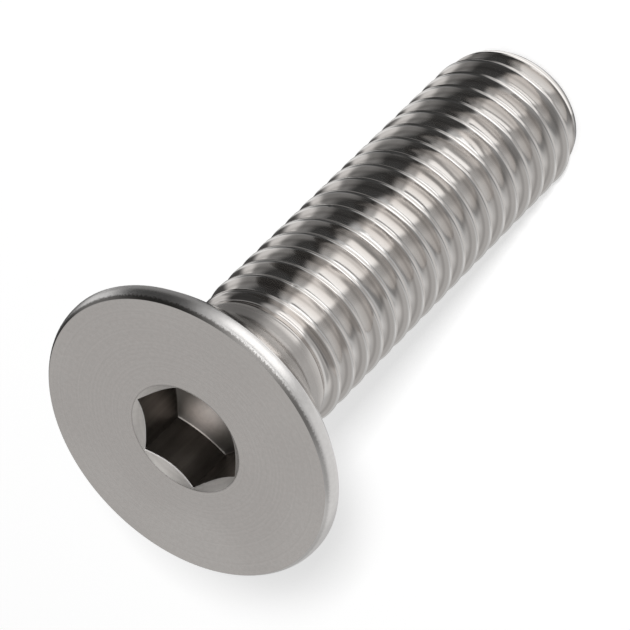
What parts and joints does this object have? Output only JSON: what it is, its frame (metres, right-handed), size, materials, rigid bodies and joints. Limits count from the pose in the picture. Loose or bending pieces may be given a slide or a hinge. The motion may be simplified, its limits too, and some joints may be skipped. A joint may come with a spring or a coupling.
{
  "type": "countersunk socket screw",
  "caption": "Flat countersunk machine screw with a hex socket and a metric thread up to the head, in stainless steel.",
  "frame": {"origin": "centre of the flat end face of the thread, on which the screw stands", "axes": "+Z along the screw's axis from the thread's end to the head's flat face, +X through two opposite corners of the hex socket"},
  "size_m": [0.0156, 0.0156, 0.03],
  "materials": {
    "screw": "satin turned and rolled stainless steel"
  },
  "bodies": {
    "root": {"screw": "screw"}
  },
  "joints": []
}
